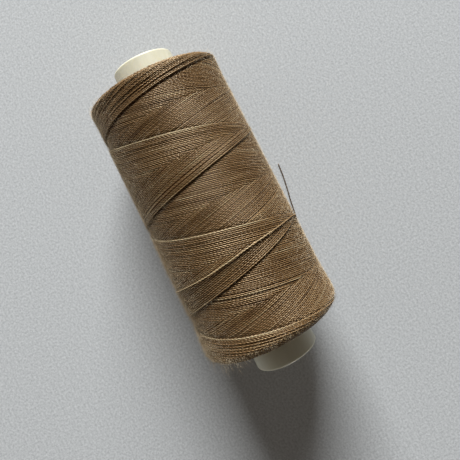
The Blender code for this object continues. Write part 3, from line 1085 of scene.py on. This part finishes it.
for side, side_name, proud, widest, slope in WINDING_ENDS:
    tubes = []
    for ring_radius in np.arange(FIRST_RING, widest, RING_GAP):
        bulge = END_BULGE * math.sin(math.pi * (ring_radius - TUBE_RADIUS) / (BODY_RADIUS - TUBE_RADIUS))
        fall = slope * max(0.0, ring_radius - SLOPE_START) ** 2
        start = dice.random()
        covered = 0.0
        while covered < ARC_COVER:
            half_arc = dice.uniform(*ARC_HALVES)
            middle = start + covered + half_arc
            tubes.append(end_arc(side, ring_radius, middle, half_arc, BODY_HALF + proud + bulge - fall))
            covered += 2 * half_arc
    piece = thread_mesh(f"thread_turns_{side_name}_end", tubes, THREAD_TAN)
    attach(piece, "root")
    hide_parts("outer_thread_winding")
    print(f"{side_name} end: {len(tubes)} arcs, {len(piece.data.polygons)} faces")

# %% [markdown]
# ## Fibre ends
# Spun thread is hairy: ends of its short fibres stand out everywhere. They are the same polyester as the
# thread, but loose and thin, so they are paler and catch the light. A slow mottle keeps neighbours unlike.

# %% Fibre ends
FIBRE_MOTTLE = 1.5
HAIR, tree = new_material("polyester_fibre_ends")
place = add(tree, "ShaderNodeTexCoord")
mottle = add(
    tree, "ShaderNodeTexNoise", {"Vector": place.outputs["Object"], "Scale": 1 / (FIBRE_MOTTLE * MM)},
)
shade = add(
    tree, "ShaderNodeValToRGB", {"Fac": mottle.outputs[0]}, stops=[(0.35, "#D0B890"), (0.65, "#F0E0C2")],
)
shader = add(
    tree, "ShaderNodeBsdfPrincipled",
    {"Base Color": shade.outputs["Color"], "Roughness": 0.55, "Specular IOR Level": 0.4},
)
add(tree, "ShaderNodeOutputMaterial", {"Surface": shader.outputs["BSDF"]})
print("Fibre material:", HAIR.name)

# %% [markdown]
# ## Fibres as needles
# Blender's own hair would be lost in an exported mesh. So each fibre is a thin needle with three sides and a
# point. A short one is straight and has four faces. A long one has joints, so that it can rise from the
# thread in a curve and bend to one side.

# %% Fibres as needles
NEEDLE = np.radians([90, 210, 330])
NEEDLE_SIDES = [(0, 1), (1, 2), (2, 0)]
BEND = 0.25
TAPER = 0.6
SQUARE_MARGIN = 0.1


def needle_corners(roots, outward, lean, length, lift, width, joints):
    """The corners of each needle in mm, from its root, direction, length and the height of its tip."""
    lean = unit(lean - outward * np.sum(lean * outward, axis=1, keepdims=True))
    across = np.cross(outward, lean)
    bend = across * (dice.normal(0, BEND, len(roots)) * length)[:, None]
    section = np.cos(NEEDLE)[:, None] * across[:, None, :] + np.sin(NEEDLE)[:, None] * outward[:, None, :]
    section = section * width / 2
    rows = []
    for share in np.arange(joints + 1) / joints:
        height = (lift * (1 - (1 - share) ** 2))[:, None]
        middle = roots + lean * (share * length)[:, None] + outward * height + bend * share ** 2
        rows.append(middle[:, None] + section * (1 - TAPER * share) if share < 1 else middle[:, None])
    return np.concatenate(rows, axis=1)


def needle_faces(count, joints):
    """The faces of many needles: a closed root, three sides at each joint and a point."""
    tip = 3 * joints
    triangles = [[2, 1, 0], *[[tip - 3 + a, tip - 3 + b, tip] for a, b in NEEDLE_SIDES]]
    quads = [[j + a, j + b, j + 3 + b, j + 3 + a] for j in range(0, tip - 3, 3) for a, b in NEEDLE_SIDES]
    starts = np.arange(count)[:, None, None] * (tip + 1)
    faces = (np.array(triangles)[None] + starts).reshape(-1, 3).tolist()
    if quads:
        faces += (np.array(quads)[None] + starts).reshape(-1, 4).tolist()
    return faces


def hair_piece(name, roots, outward, lean, length, lift, width, joints=1):
    """One object of many needles, each with a small square of the baked texture."""
    corners = needle_corners(roots, outward, lean, length, lift, width, joints)
    count, size = corners.shape[:2]
    mesh = bpy.data.meshes.new(name)
    mesh.from_pydata((corners.reshape(-1, 3) * MM).tolist(), [], needle_faces(count, joints))
    mesh.polygons.foreach_set("use_smooth", np.ones(len(mesh.polygons), bool))
    columns = math.ceil(math.sqrt(count))
    square = np.stack([np.arange(count) % columns, np.arange(count) // columns], 1)
    room = 1 - 2 * SQUARE_MARGIN
    inside = SQUARE_MARGIN + room * np.array([(k % 3 / 2, k // 3 / joints) for k in range(size)])
    baked = mesh.uv_layers.new(name="OFBake", do_init=False)
    index = np.empty(len(mesh.loops), np.int32)
    mesh.loops.foreach_get("vertex_index", index)
    baked.uv.foreach_set("vector", ((square[index // size] + inside[index % size]) / columns).ravel())
    mesh.materials.append(HAIR)
    piece = new_object(name, mesh)
    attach(piece, "root")
    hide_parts("outer_thread_winding")
    return piece


print("A straight fibre has", len(needle_faces(1, 1)), "faces")

# %% [markdown]
# ## Fuzz
# One by one the fibre ends are too fine to see, but together they make the spool paler toward its edges and
# its outline soft. Real fibres are about 0.015 mm thick, and these are hardly thicker. They are fewer than
# the real ones, so most of them stand on the flanks, where they show, and more on the left flank, where they
# also stand up further toward the lower end. Some stand along the rims, and near the paper they are short.

# %% Fuzz
HAIRS_PER_PIECE = 48000
HAIR_WIDTH = 0.017
HAIR_ROOT = 0.12
RIM_EVERY = 24
RIM_REACH = (0.1, 1.9)
LOWER_RIM_SHARE = 0.7
LEAST_KEPT = 0.02
LEFT_KEPT = 0.98
RIGHT_KEPT = 0.4
FLANK_POWER = 5
TRIES = 8
CLEAR_OF_ENDS = 0.3
LENGTH_SHAPE = (4.0, 0.16)
LEAST_LENGTH = 0.3
SHORTEST_HAIR = 0.2
ROOM_SHARE = 0.35
LIFT_SHARES = (0.05, 0.45)
MOST_LIFT = 0.6
LEFT_LIFT = 0.9
LEFT_LIFT_RISE = (-4.5, 10.5)
NEAR_FLOOR = 1.5
FLOOR_LIFT = 0.1
for number in (1, 2):
    x = WINDING_MIDDLE + dice.uniform(-1, 1, HAIRS_PER_PIECE) * (WINDING_HALF - CLEAR_OF_ENDS)
    at_rim = WINDING_HALF - dice.uniform(*RIM_REACH, x[::RIM_EVERY].size)
    x[::RIM_EVERY] = WINDING_MIDDLE + at_rim * np.where(dice.random(at_rim.size) < LOWER_RIM_SHARE, 1, -1)
    angle = dice.random(TRIES * HAIRS_PER_PIECE)
    across = sideways(angle)
    kept = LEAST_KEPT + np.where(across < 0, LEFT_KEPT, RIGHT_KEPT) * np.abs(across) ** FLANK_POWER
    angle = angle[dice.random(angle.size) < kept][:HAIRS_PER_PIECE]
    angle[::RIM_EVERY] = dice.random(angle[::RIM_EVERY].size)
    roots = on_spool(x, surface_radius(x, angle) - HAIR_ROOT, angle)
    length = dice.gamma(*LENGTH_SHAPE, HAIRS_PER_PIECE) + LEAST_LENGTH
    length = np.minimum(length, SHORTEST_HAIR + ROOM_SHARE * roots[:, 2])
    lift = HAIR_ROOT + np.minimum(length * dice.uniform(*LIFT_SHARES, HAIRS_PER_PIECE), MOST_LIFT)
    lift *= np.where(sideways(angle) < 0, 1 + LEFT_LIFT * rise(x, *LEFT_LIFT_RISE), 1)
    lean = dice.normal(0, 1, (HAIRS_PER_PIECE, 3))
    lift[roots[:, 2] < NEAR_FLOOR] *= FLOOR_LIFT
    fuzz = hair_piece(f"fuzz_{number}", roots, outwards(angle), lean, length, lift, HAIR_WIDTH)
    print(f"{fuzz.name}: {HAIRS_PER_PIECE} hairs")

# %% [markdown]
# ## Stray fibres
# A few fibres are pulled out much further, most of them along the left of the lower rim. They hang free and
# show against the shadow. They are a little thicker than the fuzz, because each one shows alone.

# %% Stray fibres
RIM_STRAYS = 90
SIDE_STRAYS = 40
STRAY_ROOT = 0.15
STRAY_WIDTH = 1.2 * HAIR_WIDTH
STRAY_JOINTS = 6
RIM_BACK = (1.6, 0.3)
SIDE_MARGIN = 1
RIM_LEAN = 1.2
LEAN_SPREAD = 0.6
RIM_ANGLES = (0.31, 0.57)
SIDE_ANGLES = (-0.1, 0.6)
STRAY_LENGTHS = (1.5, 3.5)
STRAY_LIFTS = (0.1, 0.5)
lower_rim = WINDING_MIDDLE + WINDING_HALF
x = np.concatenate([
    dice.uniform(lower_rim - RIM_BACK[0], lower_rim - RIM_BACK[1], RIM_STRAYS),
    WINDING_MIDDLE + dice.uniform(-1, 1, SIDE_STRAYS) * (WINDING_HALF - SIDE_MARGIN),
])
angle = np.concatenate([dice.uniform(*RIM_ANGLES, RIM_STRAYS), dice.uniform(*SIDE_ANGLES, SIDE_STRAYS)])
stray_count = RIM_STRAYS + SIDE_STRAYS
roots = on_spool(x, surface_radius(x, angle) - STRAY_ROOT, angle)
length = dice.uniform(*STRAY_LENGTHS, stray_count)
lift = length * dice.uniform(*STRAY_LIFTS, stray_count)
lean = dice.normal(0, LEAN_SPREAD, (stray_count, 3))
lean[:RIM_STRAYS, 0] += RIM_LEAN
strays = hair_piece(
    "stray_fibres", roots, outwards(angle), lean, length, lift, STRAY_WIDTH, joints=STRAY_JOINTS,
)
print(f"{strays.name}: {stray_count} fibres")
